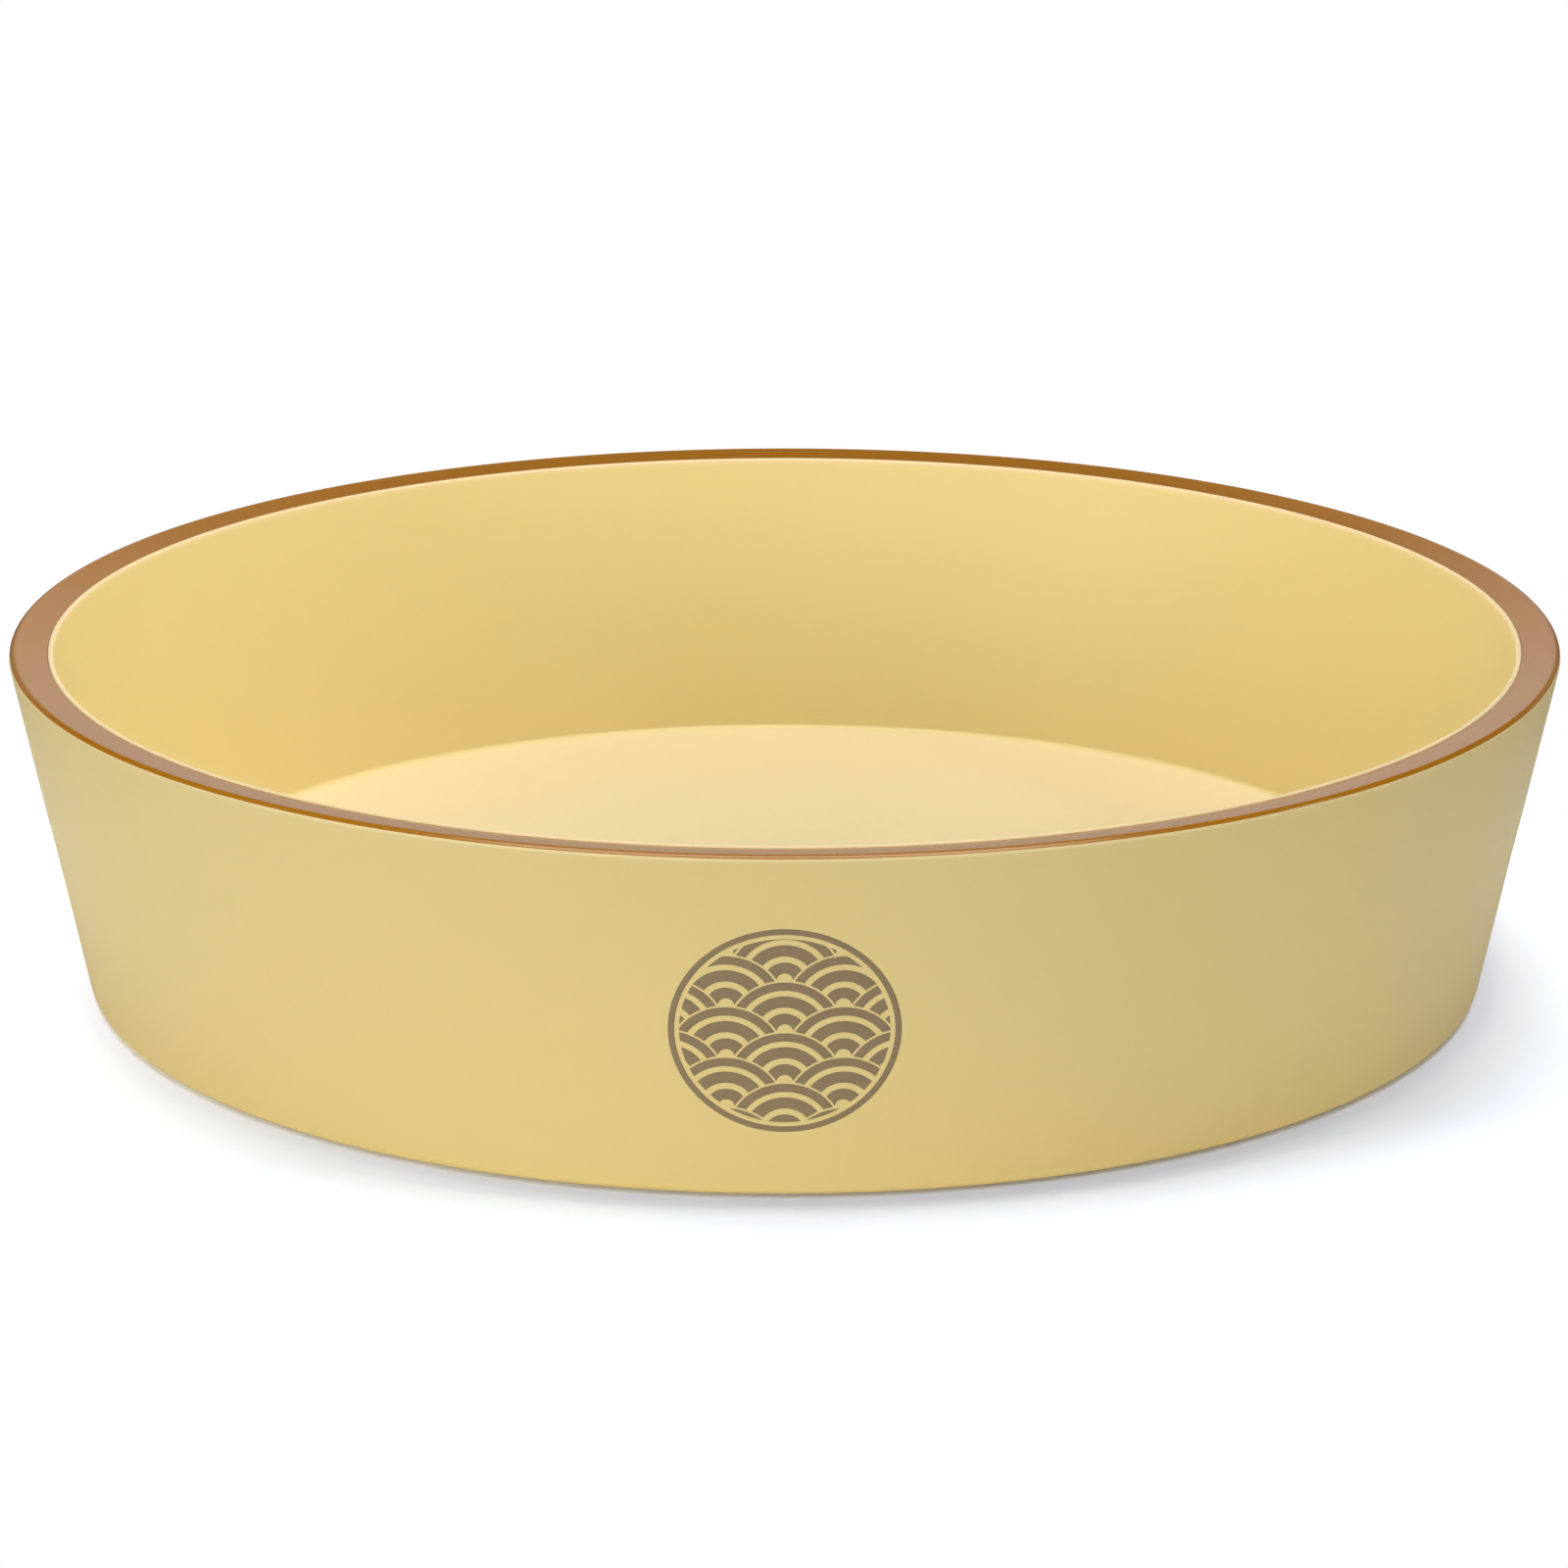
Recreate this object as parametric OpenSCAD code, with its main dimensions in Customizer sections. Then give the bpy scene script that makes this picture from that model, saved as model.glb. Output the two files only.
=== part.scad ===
// Rice tub for mixing and serving, turned about Z and standing on the table at z = 0.
// The tub is one thick moulding with a wall that flares to the rim. A channel in the
// rim carries a coloured ring, between a thin inner lip and a narrow outer shoulder.

/* [Tub] */
// Outside diameter over the rim
rim_d = 450; // [300:1:640]
// Height of the rim above the table, where the lip and the shoulder end
rim_h = 101.2; // [80:0.1:140]
// How far the outside of the wall leans outwards between the table and the rim
wall_lean = 21.4; // [5:0.1:40]
// Level thickness of the wall where it rises from the floor
wall_w = 18.5; // [14:0.5:40]
// Height of the floor inside above the table
floor_h = 18.4; // [12:0.1:40]

/* [Foot] */
// Width of the flat foot that the tub stands on
foot_w = 12; // [6:0.5:30]
// Depth of the hollow under the floor
hollow_h = 3; // [2.5:0.5:8]

/* [Rim] */
// Width of the channel that the ring lies in
channel_w = 10.4; // [6:0.1:14]
// Depth of the channel below the rim
channel_h = 2.4; // [1.8:0.1:5]
// Width of the lip on the inside of the channel
lip_w = 1.5; // [1.2:0.1:3]
// Width of the shoulder on the outside of the channel
shoulder_w = 0.8; // [0.8:0.1:3]

/* [Ring] */
// How far the ring's outer edge stands above the rim
ring_proud = 0.9; // [0.2:0.1:2]
// How far the ring's top falls from its outer edge to its inner edge
ring_fall = 1.3; // [0:0.1:1.8]
// Clearance on each side of the ring in its channel
ring_gap = 0.1; // [0:0.05:0.3]

/* [Roundings] */
// Radius of the lower outer edge
base_r = 5; // [1:0.5:10]
// Radius where the inside wall meets the floor
corner_r = 1.5; // [0.5:0.1:8]
// Radius at the edge of the hollow's roof
hollow_r = 2; // [0.5:0.1:2.5]
// Radius of both edges of the lip
lip_r = 0.6; // [0.2:0.05:0.8]
// Radius of the shoulder's outer edge
shoulder_r = 0.5; // [0.2:0.05:0.6]
// Radius of the ring's upper outer edge
ring_r = 0.7; // [0.2:0.1:1.2]

/* [Hidden] */
$fn = 360;

// Straight steps in each rounding
round_steps = 8;

cream = "#E8CD80";
brown = "#9A6430";

// Heights of the seat under the ring and of the ring's upper edge
seat_z = rim_h - channel_h;
ring_top_z = rim_h + ring_proud;

// Radius of the outside of the wall at height z
function outside_r(z) = rim_d / 2 - wall_lean * (rim_h - z) / rim_h;

// Radius of the channel's outer side, which leans as the wall does
function channel_out_r(z) = outside_r(z) - shoulder_w;

// Radii of the channel's upright inner side and of the lip's inner edge
channel_in_r = channel_out_r(rim_h) - channel_w;
lip_in_r = channel_in_r - lip_w;

// Corners of the tub's section, as points of radius and height
floor_centre = [0, floor_h];
floor_corner = [outside_r(floor_h) - wall_w, floor_h];
lip_inner_corner = [lip_in_r, rim_h];
lip_outer_corner = [channel_in_r, rim_h];
seat_inner_corner = [channel_in_r, seat_z];
seat_outer_corner = [channel_out_r(seat_z), seat_z];
shoulder_inner_corner = [channel_out_r(rim_h), rim_h];
shoulder_outer_corner = [outside_r(rim_h), rim_h];
base_corner = [outside_r(0), 0];
hollow_centre = [0, hollow_h];

// The flat foot starts where the rounding of the lower edge ends
foot_out_r = base_corner.x - setback(base_corner, shoulder_outer_corner, [0, 0], base_r);
foot_in_r = foot_out_r - foot_w;
foot_corner = [foot_in_r, 0];
hollow_corner = [foot_in_r, hollow_h];

// Corners of the ring's section
ring_in_r = channel_in_r + ring_gap;
ring_foot_inner_corner = [ring_in_r, seat_z];
ring_foot_outer_corner = [channel_out_r(seat_z) - ring_gap, seat_z];
ring_outer_corner = [channel_out_r(ring_top_z) - ring_gap, ring_top_z];
ring_inner_corner = [ring_in_r, ring_top_z - ring_fall];

// Direction from one point of the section to another, with length 1
function towards(from, to) = (to - from) / norm(to - from);

// Half of the angle at a corner whose sides run to the points a and b
function half_angle(corner, a, b) = acos(towards(corner, a) * towards(corner, b)) / 2;

// Distance from a corner to where a rounding of radius r meets its sides
function setback(corner, a, b, r) = r / tan(half_angle(corner, a, b));

// A direction of the section turned anticlockwise
function turned(v, angle) = [
    v.x * cos(angle) - v.y * sin(angle),
    v.x * sin(angle) + v.y * cos(angle)
];

// Points of the rounding of radius r at a corner, from the side that comes from a
// to the side that goes on to b
function rounded(a, corner, b, r) =
    let (
        half = half_angle(corner, a, b),
        into = towards([0, 0], towards(corner, a) + towards(corner, b)),
        middle = corner + into * r / sin(half),
        first = corner + towards(corner, a) * setback(corner, a, b, r) - middle,
        way = sign(cross(corner - a, b - corner)),
        sweep = way * (180 - 2 * half)
    )
    [for (i = [0 : round_steps]) middle + turned(first, sweep * i / round_steps)];

// Section of the tub, from the middle of the floor over the rim to the hollow
module tub_section() {
    polygon(concat(
        [floor_centre],
        rounded(floor_centre, floor_corner, lip_inner_corner, corner_r),
        rounded(floor_corner, lip_inner_corner, lip_outer_corner, lip_r),
        rounded(lip_inner_corner, lip_outer_corner, seat_inner_corner, lip_r),
        [seat_inner_corner, seat_outer_corner, shoulder_inner_corner],
        rounded(shoulder_inner_corner, shoulder_outer_corner, base_corner, shoulder_r),
        rounded(shoulder_outer_corner, base_corner, foot_corner, base_r),
        [foot_corner],
        rounded(foot_corner, hollow_corner, hollow_centre, hollow_r),
        [hollow_centre]
    ));
}

// Wall and floor, moulded in one
module tub() {
    color(cream)
        rotate_extrude()
            tub_section();
}

// Section of the ring: a flat bottom on the seat, and a top that falls inwards
module ring_section() {
    polygon(concat(
        [ring_foot_inner_corner, ring_inner_corner],
        rounded(ring_inner_corner, ring_outer_corner, ring_foot_outer_corner, ring_r),
        [ring_foot_outer_corner]
    ));
}

// Coloured ring, lying in the channel of the rim
module rim_ring() {
    color(brown)
        rotate_extrude()
            ring_section();
}

tub();
rim_ring();
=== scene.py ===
# %% [markdown]
# # A sushi rice tub in cream plastic
#
# The tub is a shallow round vessel in which warm rice is turned and seasoned. It is one
# thick moulding with a flared wall, and a brown ring lies in a channel in its rim.
# The frame that is loaded here already holds both pieces at their real size. This
# notebook gives them fine surfaces, finishes, a printed ornament, light and a camera.

# %% Load the frame
import math

import bmesh
import bpy
import numpy as np
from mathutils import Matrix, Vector


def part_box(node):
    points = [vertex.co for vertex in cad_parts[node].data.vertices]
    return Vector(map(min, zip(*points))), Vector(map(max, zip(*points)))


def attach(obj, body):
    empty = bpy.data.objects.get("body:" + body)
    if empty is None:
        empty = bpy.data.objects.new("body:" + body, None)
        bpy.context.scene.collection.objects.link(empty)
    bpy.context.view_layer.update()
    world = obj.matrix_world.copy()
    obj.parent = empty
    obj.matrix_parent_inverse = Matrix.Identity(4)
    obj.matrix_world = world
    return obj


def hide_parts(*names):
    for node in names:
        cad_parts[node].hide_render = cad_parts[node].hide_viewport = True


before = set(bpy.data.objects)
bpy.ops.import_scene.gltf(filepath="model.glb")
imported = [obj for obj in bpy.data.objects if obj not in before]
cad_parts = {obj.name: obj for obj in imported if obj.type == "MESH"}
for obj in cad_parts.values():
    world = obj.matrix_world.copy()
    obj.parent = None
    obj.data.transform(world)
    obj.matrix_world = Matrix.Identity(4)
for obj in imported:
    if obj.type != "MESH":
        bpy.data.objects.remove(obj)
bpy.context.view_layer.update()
print("nodes:", sorted(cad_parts))

# %% [markdown]
# ## Sizes
#
# Blender works in metres and a maker thinks in millimetres, so one constant turns one
# into the other. Two heights are read from the frame. The sizes of the section that no
# box can tell, such as the lean of the wall or the width of the lip, are written here
# once, and everything further down is worked out from them.

# %% The sizes of the tub
MM = 0.001

rim_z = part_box("tub")[1].z
seat_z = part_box("rim_ring")[0].z

rim_r = 225.1 * MM
wall_lean = 21.5 * MM
wall_w = 18.5 * MM
floor_z = 18.4 * MM
foot_w = 12 * MM
hollow_z = 3 * MM
base_round = 5 * MM
corner_round = 1.5 * MM
hollow_round = 2 * MM

print(f"rim {2 * rim_r / MM:.0f} mm across and {rim_z / MM:.1f} mm high")

# %% The sizes of the rim and the ring
channel_in_r = 213.8 * MM
lip_w = 1.5 * MM
lip_round = 0.6 * MM
shoulder_w = 0.8 * MM

ring_in_z = rim_z - 0.4 * MM
ring_slope = 0.125
ring_gap = 0.1 * MM
edge_round = 1.7 * MM

print(f"the channel is {(rim_z - seat_z) / MM:.1f} mm deep")
print(f"the ring's top falls inwards by {math.degrees(math.atan(ring_slope)):.1f} degrees")

# %% [markdown]
# ## The rounding of a corner
#
# A tub like this is drawn as a section: half of its outline, as points of radius and
# height. Moulded corners are never sharp, so each corner of the section is rounded by a
# true arc that touches both of its sides. A Bevel modifier could round the edges too,
# but it gives every edge one width, and here each corner has its own.
#
# A point is added a little way before and after the arc. Without it, smooth shading
# would smear the gleam of the rounding across the flat faces beside it.

# %% Round a corner of a section
ARC_STEPS = 10
HOLD = 0.35 * MM


def unit(v):
    """The vector divided by its length."""
    return v / np.linalg.norm(v)


def rounded(before, corner, after, radius, steps=ARC_STEPS):
    """The arc of a radius that touches both sides of a corner.

    With h as half of the corner's angle, the arc's middle lies radius / sin(h) along the
    bisector, and the arc touches each side radius / tan(h) from the corner.
    """
    before, corner, after = map(np.array, (before, corner, after))
    side_a, side_b = unit(before - corner), unit(after - corner)
    half = math.acos(side_a @ side_b) / 2
    middle = corner + unit(side_a + side_b) * radius / math.sin(half)
    touch = radius / math.tan(half)
    first, last = corner + side_a * touch, corner + side_b * touch
    u, v = first - middle, last - middle
    sweep = math.pi - 2 * half
    t = np.linspace(0, 1, steps + 1)[:, None]
    arc = middle + (np.sin((1 - t) * sweep) * u + np.sin(t * sweep) * v) / math.sin(sweep)
    return np.vstack([first + side_a * HOLD, arc, last + side_b * HOLD])


print("a rounding has", len(rounded((0, 0), (1, 0), (1, 1), 0.1)), "points")

# %% [markdown]
# ## Turning a section
#
# Turned about the upright axis, the section becomes the tub. A Screw modifier could do
# the turning, but plain arrays keep every point at hand and need no cleaning up. The
# steps are so many that the rim shows no corners, even close up.

# %% Turn a section into a mesh
TURN_STEPS = 720


def turned_mesh(name, section, closed):
    """The surface that a section leaves when it turns about the Z axis.

    For the section's point (r, z) and the turning angle a, the surface's point is
    (r cos a, r sin a, z). In a closed section the last point is joined to the first.
    """
    angle = np.linspace(0, 2 * math.pi, TURN_STEPS, endpoint=False)[None, :]
    r, z = section[:, 0, None], section[:, 1, None]
    points = np.stack([r * np.cos(angle), r * np.sin(angle), z + 0 * angle], axis=-1)

    index = np.arange(points[..., 0].size).reshape(points.shape[:2])
    above = np.roll(index, -1, axis=0)
    if not closed:
        index, above = index[:-1], above[:-1]
    corners = [index, above, np.roll(above, -1, axis=1), np.roll(index, -1, axis=1)]

    mesh = bpy.data.meshes.new(name)
    mesh.from_pydata(points.reshape(-1, 3), [], np.stack(corners, -1).reshape(-1, 4).tolist())
    return mesh


print("a turned piece has", TURN_STEPS, "steps round its axis")

# %% [markdown]
# ## Finishing a mesh
#
# Where a section starts or ends on the axis, a whole ring of points falls together, so
# doubles are merged and the pole closes. Normals are then turned outwards together.
# Faces are shaded smooth, and an edge that turns by more than 35 degrees stays crisp.

# %% Finish a mesh as a piece
CRISP_ANGLE = math.radians(35)
MERGE = 0.001 * MM


def finished_piece(mesh, material):
    """A piece of the object: merged, facing outwards, smooth and with its material."""
    work = bmesh.new()
    work.from_mesh(mesh)
    bmesh.ops.remove_doubles(work, verts=work.verts, dist=MERGE)
    bmesh.ops.recalc_face_normals(work, faces=work.faces)
    work.to_mesh(mesh)
    work.free()
    mesh.shade_smooth()
    mesh.set_sharp_from_angle(angle=CRISP_ANGLE)
    mesh.materials.append(material)
    piece = bpy.data.objects.new(mesh.name, mesh)
    bpy.context.scene.collection.objects.link(piece)
    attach(piece, "root")
    print(piece.name, "has", sum(len(p.vertices) - 2 for p in mesh.polygons), "triangles")
    return piece


print("points closer than", MERGE / MM, "mm are merged")

# %% [markdown]
# ## Colours and nodes
#
# A colour is easiest to judge as it appears on a screen, so colours are written as sRGB
# hex values. Light is added up in linear numbers, so one function turns hex to linear.
# A second function adds a shader node with its settings and its links in one go.

# %% Turn a hex colour to linear light


def linear(hex_code):
    """An sRGB hex colour as linear RGBA.

    Each channel c is c / 12.92 up to 0.04045, and ((c + 0.055) / 1.055) ** 2.4 above.
    """
    srgb = np.array([int(hex_code[i : i + 2], 16) for i in (1, 3, 5)]) / 255
    light = np.where(srgb <= 0.04045, srgb / 12.92, ((srgb + 0.055) / 1.055) ** 2.4)
    return (*light, 1)


print("middle grey is", round(linear("#808080")[0], 3), "in linear light")

# %% Add nodes to a material


def add_node(tree, kind, settings=None, links=None):
    """Adds a node. A setting is a property or an input's value, and a link a source socket."""
    made = tree.nodes.new(kind)
    for name, value in (settings or {}).items():
        if isinstance(name, str) and hasattr(made, name):
            setattr(made, name, value)
        else:
            made.inputs[name].default_value = value
    for name, source in (links or {}).items():
        tree.links.new(source, made.inputs[name])
    return made


def new_material(name):
    """An empty material and its node tree."""
    material = bpy.data.materials.new(name)
    material.use_nodes = True
    material.node_tree.nodes.clear()
    return material, material.node_tree


print("node helpers are ready")

# %% [markdown]
# ## Patterns by real size
#
# A noise texture has a scale, which counts how many of its waves fit in one unit. The
# unit here is the metre, so a wave of a given size in millimetres needs a scale of
# 1 / (size in metres). Object coordinates keep the pattern at that size on any piece.
#
# A finish can also change with a place on the piece, such as its height or its distance
# from the tub's axis. A Map Range node turns the place into a number, and its smooth form
# is flat at both ends, so that no hard line shows where the change starts or ends.

# %% The scale of a pattern


def scale_of(wave_mm):
    """The scale at which a noise texture's waves are wave_mm across."""
    return 1 / (wave_mm * MM)


print("a wave of 140 mm has the scale", round(scale_of(140), 1))

# %% The settings of a smooth change


def smooth(start, end, low=0, high=1):
    """Settings for a Map Range from low to high as its value goes from start to end.

    With t as the share of the way, the number moves by t * t * (3 - 2 * t).
    """
    return {
        "interpolation_type": "SMOOTHSTEP",
        "From Min": start,
        "From Max": end,
        "To Min": low,
        "To Max": high,
    }


print("a quarter of the way along, it has moved by", 0.25 * 0.25 * (3 - 2 * 0.25))

# %% The distance from the axis


def distance_from_axis(tree, place):
    """The distance from the Z axis: the length of the place with its height left out."""
    flat = add_node(tree, "ShaderNodeVectorMath", {"operation": "MULTIPLY", 1: (1, 1, 0)}, {0: place})
    length = add_node(tree, "ShaderNodeVectorMath", {"operation": "LENGTH"}, {0: flat.outputs[0]})
    return length.outputs["Value"]


print(f"the rim's edge is {rim_r:.3f} m from the axis")

# %% [markdown]
# ## Moulded polyethylene
#
# The tub is polyethylene, moulded thick so that it holds warmth and takes knocks. The
# plastic is soft and slightly waxy: light enters a little way, so edges glow, and the
# gleam is broad. The mould was blasted, which leaves a fine grain of about 0.4 mm.
# That is finer than a pixel of the picture, so it is drawn three times as coarse and
# kept very shallow. Slow drifts in the tone come from the way that the plastic flowed.
#
# The floor inside is painted paler than the walls: a painted sheen, since the floor faces
# up to the top lamp and is seen at a low angle, so it would gleam whiter. So the tone
# changes with the distance from the tub's axis, at the corner between floor and wall.
# The thin edges of the rim get a painted highlight in the same way, so in the last two
# millimetres of the height the lip is palest and the shoulder a little pale.

# %% The cream plastic
GRAIN_MM = 1.2
DRIFT_MM = 140
# painted sheen: out to this radius the floor inside is painted paler
painted_sheen_r = 188 * MM
painted_sheen_edge = 3 * MM
# painted highlight: the height at the rim over which the edges are painted paler
painted_highlight_h = 1.8 * MM
shoulder_highlight_share = 0.4


def cream_polyethylene():
    """Satin moulded polyethylene, cream yellow and a little waxy."""
    material, tree = new_material("cream_moulded_polyethylene")
    place = add_node(tree, "ShaderNodeTexCoord").outputs["Object"]
    drift = add_node(
        tree,
        "ShaderNodeTexNoise",
        {"Scale": scale_of(DRIFT_MM), "Detail": 2},
        {"Vector": place},
    )
    wall_tone = add_node(
        tree,
        "ShaderNodeMix",
        {"data_type": "RGBA", 6: linear("#DFC882"), 7: linear("#E2CC89")},
        {0: drift.outputs[0]},
    )
    # Painted sheen: the floor's tone is a paler copy of the wall's tone.
    painted_sheen_floor_tone = add_node(
        tree,
        "ShaderNodeMix",
        {"data_type": "RGBA", 6: linear("#DFCD9C"), 7: linear("#E3D2A6")},
        {0: drift.outputs[0]},
    )
    out = distance_from_axis(tree, place)
    on_wall = add_node(
        tree,
        "ShaderNodeMapRange",
        smooth(painted_sheen_r - painted_sheen_edge / 2, painted_sheen_r + painted_sheen_edge / 2),
        {"Value": out},
    )
    tone_without_edge_highlight = add_node(
        tree,
        "ShaderNodeMix",
        {"data_type": "RGBA"},
        {0: on_wall.outputs[0], 6: painted_sheen_floor_tone.outputs[2], 7: wall_tone.outputs[2]},
    )

    height = add_node(tree, "ShaderNodeSeparateXYZ", links={0: place}).outputs["Z"]
    # Painted highlight: the last millimetres of the rim's height are painted paler, most on the lip.
    at_rim = add_node(
        tree,
        "ShaderNodeMapRange",
        smooth(rim_z - painted_highlight_h, rim_z),
        {"Value": height},
    )
    at_lip = add_node(
        tree,
        "ShaderNodeMapRange",
        smooth(channel_in_r, channel_in_r + painted_highlight_h, 1, shoulder_highlight_share),
        {"Value": out},
    )
    painted_edge_highlight = add_node(
        tree,
        "ShaderNodeMath",
        {"operation": "MULTIPLY"},
        {0: at_rim.outputs[0], 1: at_lip.outputs[0]},
    )
    # The painted highlight's pale colour is mixed over the tone here.
    tone = add_node(
        tree,
        "ShaderNodeMix",
        {"data_type": "RGBA", 7: linear("#EBD3A3")},
        {0: painted_edge_highlight.outputs[0], 6: tone_without_edge_highlight.outputs[2]},
    )

    grain = add_node(
        tree,
        "ShaderNodeTexNoise",
        {"Scale": scale_of(GRAIN_MM), "Detail": 3},
        {"Vector": place},
    )
    relief = add_node(
        tree,
        "ShaderNodeBump",
        {"Strength": 0.12, "Distance": 0.05 * MM},
        {"Height": grain.outputs[0]},
    )
    roughness = add_node(
        tree,
        "ShaderNodeMapRange",
        {"To Min": 0.42, "To Max": 0.5},
        {"Value": grain.outputs[0]},
    )
    plastic = add_node(
        tree,
        "ShaderNodeBsdfPrincipled",
        {
            "IOR": 1.51,
            "Subsurface Weight": 0.1,
            "Subsurface Radius": (1.0, 0.7, 0.3),
            "Subsurface Scale": 2 * MM,
        },
        {
            "Base Color": tone.outputs[2],
            "Roughness": roughness.outputs[0],
            "Normal": relief.outputs[0],
        },
    )
    add_node(tree, "ShaderNodeOutputMaterial", links={"Surface": plastic.outputs[0]})
    return material


cream = cream_polyethylene()
print(cream.name, "has", len(cream.node_tree.nodes), "nodes")

# %% [markdown]
# ## The rim's outer edge
#
# Ring and tub share one rounding at the rim, as if they had been smoothed together. The
# ring's top is carried on outwards to the line of the wall, and that corner is rounded.
# The upper part of the arc belongs to the ring. The rest is the narrow pale shoulder that
# closes the channel on the outside, and it reads as a fine bright line below the brown,
# partly from its rounding and partly from a painted highlight in the cream plastic.

# %% The shared rounding


def outside_r(z):
    """Radius of the outside of the wall: it grows evenly with height up to the rim."""
    return rim_r - wall_lean * (rim_z - z) / rim_z


wall_slope = wall_lean / rim_z
ring_inner = (channel_in_r + ring_gap, ring_in_z)
base_corner = (outside_r(0), 0)
edge_z = (ring_in_z + ring_slope * (base_corner[0] - ring_inner[0])) / (1 - ring_slope * wall_slope)
edge_corner = (outside_r(edge_z), edge_z)

EDGE_STEPS = 20
SEAM_STEP = 12
edge = rounded(ring_inner, edge_corner, base_corner, edge_round, EDGE_STEPS)
ring_edge, shoulder_edge = edge[: SEAM_STEP + 2], edge[SEAM_STEP + 1 :]
print(f"the rim is {2 * edge[:, 0].max() / MM:.2f} mm across at its widest")

# %% [markdown]
# ## The tub
#
# The wall is thicker at the floor than at the rim. Its outside leans out by about 12
# degrees and its inside by about 16. The rim carries a channel between a thin lip on
# the inside and the shoulder on the outside. Underneath is a flat foot round a shallow
# hollow, so that the tub stands on its edge and does not rock.

# %% The corners of the tub's section
channel_foot_r = outside_r(seat_z) - shoulder_w

floor_centre = (0, floor_z)
floor_corner = (outside_r(floor_z) - wall_w, floor_z)
lip_inner = (channel_in_r - lip_w, rim_z)
lip_outer = (channel_in_r, rim_z)
seat_inner = (channel_in_r, seat_z)
seat_outer = (channel_foot_r, seat_z)

wall_angle = math.atan(wall_slope)
foot_out_r = base_corner[0] - base_round / math.tan((math.pi / 2 + wall_angle) / 2)
foot_in_r = foot_out_r - foot_w
foot_corner = (foot_in_r, 0)
hollow_corner = (foot_in_r, hollow_z)
hollow_centre = (0, hollow_z)

print(f"the outside leans by {math.degrees(wall_angle):.1f} degrees")
print(f"the foot runs from {foot_in_r / MM:.1f} to {foot_out_r / MM:.1f} mm")

# %% The tub as a piece
tub_section = np.vstack([
    [floor_centre],
    rounded(floor_centre, floor_corner, lip_inner, corner_round),
    rounded(floor_corner, lip_inner, lip_outer, lip_round)[:-1],
    rounded(lip_inner, lip_outer, seat_inner, lip_round)[1:],
    [seat_inner, seat_outer],
    shoulder_edge,
    rounded(edge_corner, base_corner, foot_corner, base_round),
    [foot_corner],
    rounded(foot_corner, hollow_corner, hollow_centre, hollow_round),
    [hollow_centre],
])
tub = finished_piece(turned_mesh("tub_body", tub_section, closed=False), cream)
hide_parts("tub")

# %% [markdown]
# ## Brown plastic
#
# The ring's plastic is denser and shinier than the tub's. It was pressed through a die
# as a strip and bent round, which leaves very fine lines along it. They follow the
# distance from the tub's axis, so a one-dimensional noise of that distance draws them.
# They are drawn coarser than they are, as the grain of the tub is. The tone drifts a
# little along the strip, as the pigment does in the melt.

# %% The brown plastic
LINE_MM = 0.5
BATCH_MM = 80


def brown_plastic():
    """Satin extruded plastic, reddish brown, with fine lines along the strip."""
    material, tree = new_material("brown_extruded_plastic")
    place = add_node(tree, "ShaderNodeTexCoord").outputs["Object"]
    batch = add_node(
        tree,
        "ShaderNodeTexNoise",
        {"Scale": scale_of(BATCH_MM), "Detail": 2},
        {"Vector": place},
    )
    tone = add_node(
        tree,
        "ShaderNodeMix",
        {"data_type": "RGBA", 6: linear("#9C640D"), 7: linear("#A16912")},
        {0: batch.outputs[0]},
    )
    lines = add_node(
        tree,
        "ShaderNodeTexNoise",
        {"noise_dimensions": "1D", "Scale": scale_of(LINE_MM), "Detail": 2},
        {"W": distance_from_axis(tree, place)},
    )
    relief = add_node(
        tree,
        "ShaderNodeBump",
        {"Strength": 0.15, "Distance": 0.02 * MM},
        {"Height": lines.outputs[0]},
    )
    roughness = add_node(
        tree,
        "ShaderNodeMapRange",
        {"To Min": 0.16, "To Max": 0.22},
        {"Value": lines.outputs[0]},
    )
    plastic = add_node(
        tree,
        "ShaderNodeBsdfPrincipled",
        {"IOR": 1.5},
        {
            "Base Color": tone.outputs[2],
            "Roughness": roughness.outputs[0],
            "Normal": relief.outputs[0],
        },
    )
    add_node(tree, "ShaderNodeOutputMaterial", links={"Surface": plastic.outputs[0]})
    return material


brown = brown_plastic()
print(brown.name, "has", len(brown.node_tree.nodes), "nodes")

# %% [markdown]
# ## The ring
#
# The brown ring is a smooth strip that fills the channel. On the outside it stands a
# little proud of the rim, and its top falls inwards so that water runs into the tub and
# not down the outside. Its outer edge is its part of the shared rounding.

# %% The ring as a piece
ring_foot_inner = (ring_inner[0], seat_z)
ring_foot_outer = (channel_foot_r - ring_gap, seat_z)

ring_section = np.vstack([[ring_foot_inner, ring_inner], ring_edge, [ring_foot_outer]])
ring = finished_piece(turned_mesh("brown_ring", ring_section, closed=True), brown)
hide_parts("rim_ring")

# %% [markdown]
# ## The printed ornament
#
# The front of the wall carries one large print in taupe ink. It is the overlapping wave
# pattern that is common on Japanese tableware, in a round border.
#
# Each wave is a disc of equal bands, and each row of discs hides the lower part of the
# row above. What shows of a disc is a fan. A band of the fan at the distance d from the
# disc's middle ends where the next row's discs of radius r begin, and there the angle
# from straight up is 26.57 degrees + asin((d * d + r * r / 4) / (sqrt(5) * d * r)).

# %% One band of a wave
wave_r = 15.5 * MM
bands = ((0.14, 0.35), (0.47, 0.69), (0.80, 0.96))
cell = 0.4 * MM


def fan_angle(d):
    """Half of the angle over which a band at the distance d shows, by the formula above."""
    share = (d * d + wave_r**2 / 4) / (math.sqrt(5) * d * wave_r)
    return math.atan(0.5) + np.arcsin(np.clip(share, -1, 1))


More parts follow.
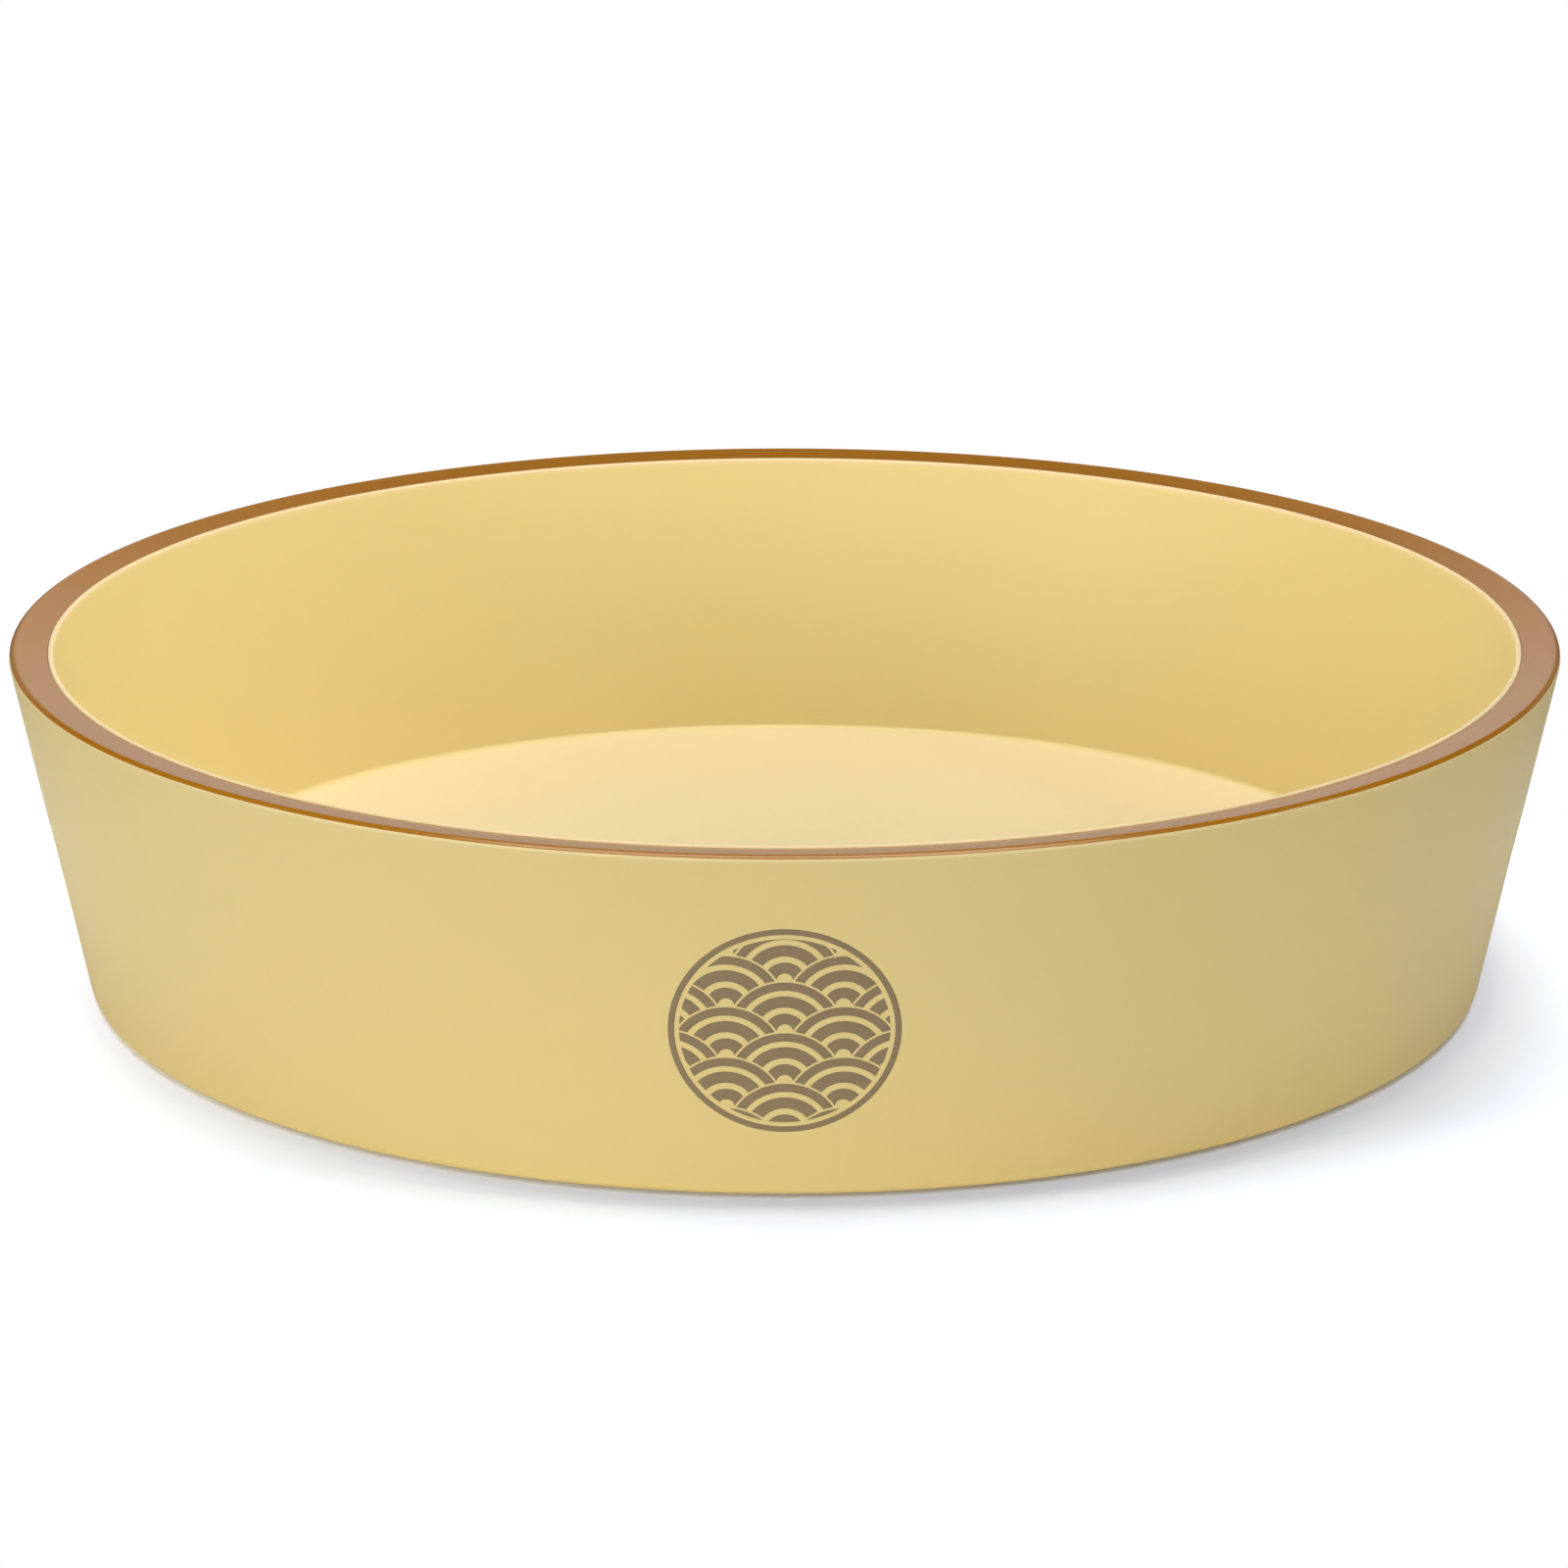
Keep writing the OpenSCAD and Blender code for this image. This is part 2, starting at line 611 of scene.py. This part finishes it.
def wave_band(middle, inner, outer):
    """One band of one fan as a grid: across the band, and from side to side.

    At the distance d and the angle a from straight up, the point is the disc's middle
    plus (d sin a, d cos a).
    """
    across = np.linspace(inner, outer, max(2, round((outer - inner) / cell)) + 1)[:, None]
    along = np.linspace(-1, 1, 2 * round(outer / cell) + 1)[None, :]
    angle = along * fan_angle(across)
    return np.stack([middle[0] + across * np.sin(angle), middle[1] + across * np.cos(angle)], -1)


print(f"the outer band is {(bands[2][1] - bands[2][0]) * wave_r / MM:.1f} mm wide")

# %% [markdown]
# The discs of a row stand one width apart, and the next row is half a disc lower and half
# a width aside. The fans are cut to the round border: a cell with no corner inside is
# dropped, and in the others the corners outside are pulled straight in to the edge.

# %% The flat drawing of the print
print_r = 31 * MM
border_w = 1.7 * MM
border_gap = 1.3 * MM
drawn_r = print_r - border_w - border_gap
rows, columns = range(-6, 5), range(-2, 2)
BORDER_STEPS, BORDER_LANES = 360, 4


def quads_of(grid, first):
    """The corners of each cell of a grid whose points are numbered from first."""
    index = first + np.arange(grid[..., 0].size).reshape(grid.shape[:2])
    corners = [index[:-1, :-1], index[:-1, 1:], index[1:, 1:], index[1:, :-1]]
    return np.stack(corners, -1).reshape(-1, 4)


middles = [
    (column * 2 * wave_r + (row % 2) * wave_r, row * wave_r / 2)
    for row in rows
    for column in columns
]
points, quads, count = [], [], 0
for middle in middles:
    for inner, outer in bands:
        grid = wave_band(middle, inner * wave_r, outer * wave_r)
        flat = grid.reshape(-1, 2)
        far = np.linalg.norm(flat, axis=1)
        cells = quads_of(grid, count)
        quads.append(cells[(far[cells - count] < drawn_r).any(axis=1)])
        points.append(flat * np.minimum(1, drawn_r / np.maximum(far, MERGE))[:, None])
        count += len(flat)

turn = np.linspace(0, 2 * math.pi, BORDER_STEPS + 1)[None, :]
across = np.linspace(print_r - border_w, print_r, BORDER_LANES + 1)[:, None]
border = np.stack([across * np.sin(turn), across * np.cos(turn)], -1)
quads.append(quads_of(border, count))
points.append(border.reshape(-1, 2))
points, quads = np.vstack(points), np.vstack(quads)
print("the print has", len(quads), "cells")

# %% [markdown]
# Screen ink on polyethylene dries matt and slightly uneven, and its edge is crisp. The
# patches where it lies thinner are a few millimetres wide.

# %% The ink
PATCH_MM = 4.5


def taupe_ink():
    """Matt taupe screen ink, a little thinner in places."""
    material, tree = new_material("taupe_screen_ink")
    place = add_node(tree, "ShaderNodeTexCoord").outputs["Object"]
    cover = add_node(
        tree,
        "ShaderNodeTexNoise",
        {"Scale": scale_of(PATCH_MM), "Detail": 3},
        {"Vector": place},
    )
    tone = add_node(
        tree,
        "ShaderNodeMix",
        {"data_type": "RGBA", 6: linear("#877253"), 7: linear("#8D7858")},
        {0: cover.outputs[0]},
    )
    roughness = add_node(
        tree,
        "ShaderNodeMapRange",
        {"To Min": 0.56, "To Max": 0.66},
        {"Value": cover.outputs[0]},
    )
    ink = add_node(
        tree,
        "ShaderNodeBsdfPrincipled",
        {"IOR": 1.45},
        {"Base Color": tone.outputs[2], "Roughness": roughness.outputs[0]},
    )
    add_node(tree, "ShaderNodeOutputMaterial", links={"Surface": ink.outputs[0]})
    return material


ink = taupe_ink()
print(ink.name, "has", len(ink.node_tree.nodes), "nodes")

# %% [markdown]
# The flat drawing is laid on the wall. A point u to the side and v up the slope goes to
# the angle u / r, where r is the wall's radius at that height. The drawing starts a
# little inside the wall and a thin Solidify brings it out, so the ink has a body and
# never flickers with the plastic under it.

# %% The print as a film on the wall
print_z = 50.5 * MM
film = 0.06 * MM
sunk = 0.02 * MM

height = print_z + points[:, 1] * math.cos(wall_angle)
radius = outside_r(height) - sunk / math.cos(wall_angle)
angle = points[:, 0] / radius - math.pi / 2
on_wall = np.stack([radius * np.cos(angle), radius * np.sin(angle), height], -1)

print_mesh = bpy.data.meshes.new("wave_print")
print_mesh.from_pydata(on_wall, [], quads.tolist())
wave_print = finished_piece(print_mesh, ink)
body = wave_print.modifiers.new("ink_film", "SOLIDIFY")
body.thickness = film
body.offset = 1

# %% [markdown]
# ## The floor
#
# The picture is a plain studio shot on white, with a short grey shadow round the foot.
# A Light Path node lets one floor be three things. To the camera it is a bright matt
# surface that the lamps burn out to white everywhere but in the shadow. It is a little
# blue, most of all at the foot, because the tub throws yellow light on it there and the
# shadow is still to look grey. The shadow's shape is partly painted: the floor is painted
# evenly brighter towards the back and the left, a painted pool of light, it is painted
# lighter outwards in front, so that the shadow ends soon there, and it is painted a little
# brighter right at the foot. To a reflection it is white near the tub and painted greyer
# further out, a painted dimming that stands for lamps that fade. To light that bounces it
# is a white sheet with painted light at the foot, where it gives back more light than falls
# on it.
#
# Further away it turns to plain white, for the camera soon and for reflections late, so
# that the picture's corners are white and polished things would mirror a white room.
#
# Most of its numbers change with the distance from the tub's axis. They stand in one
# table: from where and to where the number changes, in mm, and what it is before and
# after. One loop makes a Map Range node of each row.

# %% How the floor changes with the distance
# Painted light: the level, least level and contact rows paint the shadow's shape, the mirrored row
# paints reflections greyer further out, and the bounce rows paint light at the foot.
floor_changes = {
    "level": (207, 212.5, 1.67, 1.75),
    "least level": (205, 220, 0.69, 1.03),
    "contact": (200, 208, 1.1, 1),
    "tint": (200, 221, 0, 1),
    "white": (228, 285, 0, 1),
    "mirrored": (280, 450, 1.1, 0.12),
    "mirrored white": (4000, 6000, 0, 1),
    "bounce": (200, 250, 1.14, 0.74),
    "bounce at the foot": (200, 208, 1.35, 1),
}


def changes_with_distance(tree, place):
    """The number of each row of the table, as a node's output."""
    far = distance_from_axis(tree, place)
    made = {}
    for name, (start, end, before, after) in floor_changes.items():
        settings = smooth(start * MM, end * MM, before, after)
        made[name] = add_node(tree, "ShaderNodeMapRange", settings, {"Value": far}).outputs[0]
    return made


print(f"the camera sees plain white from {floor_changes['white'][1]} mm on")

# %% What the camera sees of the floor
tint_foot = (0.98, 1.09, 1.48, 1)
tint_far = (0.98, 1.07, 1.26, 1)
# painted pool of light: the floor's level slopes up towards the back and the left
level_per_metre = (-0.65, 4.5, 0)


def seen_colour(tree, place, change):
    """The tint times the level.

    The level slopes evenly, as a painted pool of light, but is never below the least level,
    which paints it lighter outwards, and the contact row paints it a little brighter right
    at the foot.
    """
    slope = add_node(
        tree,
        "ShaderNodeVectorMath",
        {"operation": "DOT_PRODUCT", 1: level_per_metre},
        {0: place},
    )
    sloping = add_node(
        tree,
        "ShaderNodeMath",
        {"operation": "ADD"},
        {0: slope.outputs["Value"], 1: change["level"]},
    )
    level = add_node(
        tree,
        "ShaderNodeMath",
        {"operation": "MAXIMUM"},
        {0: sloping.outputs[0], 1: change["least level"]},
    )
    level_at_foot = add_node(
        tree,
        "ShaderNodeMath",
        {"operation": "MULTIPLY"},
        {0: level.outputs[0], 1: change["contact"]},
    )
    tint = add_node(
        tree,
        "ShaderNodeMix",
        {"data_type": "RGBA", 6: tint_foot, 7: tint_far},
        {0: change["tint"]},
    )
    seen = add_node(
        tree,
        "ShaderNodeVectorMath",
        {"operation": "SCALE"},
        {0: tint.outputs[2], "Scale": level_at_foot.outputs[0]},
    )
    return seen.outputs[0]


print("one metre further back the floor is brighter by", level_per_metre[1])

# %% What reflections and bounces see of the floor


def unseen_colour(tree, mirrored, change):
    """The mirrored number for a reflection, and the bounce for any other ray."""
    # painted light: near the foot the bounce gives back more light than falls on it
    bounce = add_node(
        tree,
        "ShaderNodeMath",
        {"operation": "MULTIPLY"},
        {0: change["bounce"], 1: change["bounce at the foot"]},
    )
    unseen = add_node(
        tree,
        "ShaderNodeMix",
        {"data_type": "RGBA"},
        {0: mirrored, 6: bounce.outputs[0], 7: change["mirrored"]},
    )
    return unseen.outputs[2]


def white_share(tree, camera, mirrored, change):
    """How much of the floor is plain white, to the camera or to a reflection."""
    to_camera = add_node(
        tree,
        "ShaderNodeMath",
        {"operation": "MULTIPLY"},
        {0: change["white"], 1: camera},
    )
    to_mirrors = add_node(
        tree,
        "ShaderNodeMath",
        {"operation": "MULTIPLY"},
        {0: change["mirrored white"], 1: mirrored},
    )
    share = add_node(
        tree,
        "ShaderNodeMath",
        {"operation": "MAXIMUM"},
        {0: to_camera.outputs[0], 1: to_mirrors.outputs[0]},
    )
    return share.outputs[0]


print(f"reflections see plain white from {floor_changes['mirrored white'][1] * MM:.0f} m on")

# %% The floor's surface


def studio_floor():
    """A matt sheet with one colour for the camera and others for the rest, and plain white."""
    material, tree = new_material("studio_floor_paint")
    place = add_node(tree, "ShaderNodeTexCoord").outputs["Object"]
    change = changes_with_distance(tree, place)
    path = add_node(tree, "ShaderNodeLightPath")
    camera = path.outputs["Is Camera Ray"]
    mirrored = add_node(
        tree,
        "ShaderNodeMath",
        {"operation": "MAXIMUM"},
        {0: path.outputs["Is Glossy Ray"], 1: path.outputs["Is Transmission Ray"]},
    ).outputs[0]
    colour = add_node(
        tree,
        "ShaderNodeMix",
        {"data_type": "RGBA"},
        {
            0: camera,
            6: unseen_colour(tree, mirrored, change),
            7: seen_colour(tree, place, change),
        },
    )
    sheet = add_node(tree, "ShaderNodeBsdfDiffuse", links={"Color": colour.outputs[2]})
    white = add_node(tree, "ShaderNodeEmission")
    surface = add_node(
        tree,
        "ShaderNodeMixShader",
        links={
            0: white_share(tree, camera, mirrored, change),
            1: sheet.outputs[0],
            2: white.outputs[0],
        },
    )
    add_node(tree, "ShaderNodeOutputMaterial", links={"Surface": surface.outputs[0]})
    return material


floor_paint = studio_floor()
print(floor_paint.name, "has", len(floor_paint.node_tree.nodes), "nodes")

# %% The floor itself
FLOOR_HALF = 6.0
FLOOR_DROP = 0.05 * MM

signs = ((-1, -1), (1, -1), (1, 1), (-1, 1))
corners = [(x * FLOOR_HALF, y * FLOOR_HALF, -FLOOR_DROP) for x, y in signs]
floor_mesh = bpy.data.meshes.new("studio_floor")
floor_mesh.from_pydata(corners, [], [(0, 1, 2, 3)])
floor_mesh.materials.append(floor_paint)
floor = bpy.data.objects.new("studio_floor", floor_mesh)
bpy.context.scene.collection.objects.link(floor)
print("the floor is", 2 * FLOOR_HALF, "m wide")

# %% [markdown]
# ## The room
#
# What the ring mirrors tells how the room is lit. On the side away from the camera it
# mirrors the room 30 degrees up and is plain brown, so the room is dark there. Nearer to
# the camera it mirrors lower and lower parts, and a pale veil comes over it, so the room
# is bright up to about 18 degrees. The outer edge of the ring mirrors the sides of the
# room, and it is a thin dark line, so the white wall is narrow and the sides are dim.
#
# The world's strength therefore follows the direction, upwards and to the side. It is the
# product of four numbers, and each row below gives one: the part of the direction that it
# follows, from where and to where it changes, and what it is before and after.

# %% The levels of the room
room_floor_level = 0.45
room_wall_level = 0.92
top_share = 0.01
side_share = 0.3
wall_foot, wall_full, wall_fades, wall_ends = np.sin(np.radians((0, 9, 15.5, 26)))

room_changes = (
    ("Z", wall_foot, wall_full, room_floor_level, room_wall_level),
    ("Z", wall_fades, wall_ends, 1, top_share),
    ("X", -0.28, 0, side_share, 1),
    ("X", 0.1, 0.3, 1, side_share),
)
print(f"the white wall ends {math.degrees(math.asin(wall_ends)):.0f} degrees up")

# %% The room as a world
world = bpy.data.worlds.new("studio_room")
world.use_nodes = True
room = world.node_tree
room.nodes.clear()
direction = add_node(room, "ShaderNodeTexCoord").outputs["Generated"]
part = add_node(room, "ShaderNodeSeparateXYZ", links={0: direction})

factors = []
for axis, start, end, before, after in room_changes:
    settings = smooth(start, end, before, after)
    factor = add_node(room, "ShaderNodeMapRange", settings, {"Value": part.outputs[axis]})
    factors.append(factor.outputs[0])

strength = factors[0]
for factor in factors[1:]:
    product = add_node(room, "ShaderNodeMath", {"operation": "MULTIPLY"}, {0: strength, 1: factor})
    strength = product.outputs[0]

air = add_node(room, "ShaderNodeBackground", links={"Strength": strength})
add_node(room, "ShaderNodeOutputWorld", links={"Surface": air.outputs[0]})
bpy.context.scene.world = world
print("the room's white wall has the strength", room_wall_level)

# %% [markdown]
# ## The lamps
#
# A large softbox hangs above the tub and leans a little to the front. It makes the
# short shadow under the overhanging wall, whose shape the floor's painted light trims,
# and the pale edge of the lip, which a painted highlight helps. Two weaker softboxes
# hang beside it. Low strips lift the outside of the wall, which leans out and so turns
# away from what hangs above. The left one is strongest, so that the wall goes from light
# to dark from left to right. The strip at the back lights the far side of the tub, which
# the others miss, and it is left out of reflections, so the ring does not mirror it.

# %% The softboxes
LAMP_DISTANCE = 2.2


def softbox(name, azimuth, elevation, size, power, aim=(0, 0, 0), beam=180):
    """A lamp that faces the aim, seen from it at that azimuth and elevation.

    The beam is the full angle, in degrees, to which the light spreads.
    """
    lamp = bpy.data.lights.new(name, "AREA")
    lamp.shape = "RECTANGLE"
    lamp.size, lamp.size_y = size
    lamp.energy = power
    lamp.spread = math.radians(beam)
    a, e = math.radians(azimuth), math.radians(elevation)
    towards = Vector((math.cos(e) * math.sin(a), -math.cos(e) * math.cos(a), math.sin(e)))
    box = bpy.data.objects.new(name, lamp)
    box.location = Vector(aim) + LAMP_DISTANCE * towards
    box.rotation_mode = "QUATERNION"
    box.rotation_quaternion = towards.to_track_quat("Z", "Y")
    bpy.context.scene.collection.objects.link(box)
    return box


softbox("top_softbox", azimuth=-5, elevation=85, size=(1.9, 1.4), power=39.6)
softbox("left_softbox", azimuth=-45, elevation=65, size=(1.0, 1.0), power=4.7)
softbox("right_softbox", azimuth=48, elevation=65, size=(1.0, 1.0), power=5.7)
softbox("low_left_strip", azimuth=-55, elevation=9, size=(1.0, 0.5), power=11.3)
softbox("low_front_strip", azimuth=-20, elevation=10, size=(1.0, 0.5), power=6.8)
softbox("low_right_strip", azimuth=36, elevation=9, size=(1.0, 0.5), power=6.1)
back_strip = softbox("low_back_strip", azimuth=175, elevation=8, size=(1.6, 0.4), power=4)
back_strip.visible_glossy = False

# %% [markdown]
# A grid before a softbox narrows its beam. Two such beams cross above the tub and reach
# only the inside of the wall, on the left and on the right, where the other lamps are too
# much in line with it. Narrow lamps could also be spots, but their shadows are hard.

# %% The narrow beams
BEAM = 14
small = (0.2, 0.2)
left_wall = (-0.19, 0.03, 0.08)
right_wall = (0.19, 0.03, 0.08)

softbox("beam_on_left_wall", 90, 35, size=small, power=0.12, aim=left_wall, beam=BEAM)
softbox("beam_on_right_wall", -90, 35, size=small, power=0.05, aim=right_wall, beam=BEAM)
beam_w = 2 * LAMP_DISTANCE * math.tan(math.radians(BEAM / 2))
print(f"a beam is about {beam_w:.1f} m wide at the wall")

# %% [markdown]
# ## The camera
#
# The picture was taken with a long lens from about 2 m away and 16.5 degrees above the
# tub. The lens follows from the focal length in pixels: it has the same share of the
# sensor's width as the focal length has of the picture's width.

# %% The camera
PICTURE_PX = 1600
SENSOR_MM = 36
focal_px = 7042
camera_down = 16.485
camera_distance = 2.025
aim = (-0.0002, 0.0, 0.05515)

lens = bpy.data.cameras.new("studio_camera")
lens.sensor_width = SENSOR_MM
lens.lens = SENSOR_MM * focal_px / PICTURE_PX
camera = bpy.data.objects.new("studio_camera", lens)
tilt = math.radians(camera_down)
camera.location = (
    aim[0],
    aim[1] - camera_distance * math.cos(tilt),
    aim[2] + camera_distance * math.sin(tilt),
)
camera.rotation_euler = (math.pi / 2 - tilt, 0, 0)
bpy.context.scene.collection.objects.link(camera)
bpy.context.scene.camera = camera
bpy.context.scene.view_settings.view_transform = "Standard"
print(f"lens {lens.lens:.1f} mm")
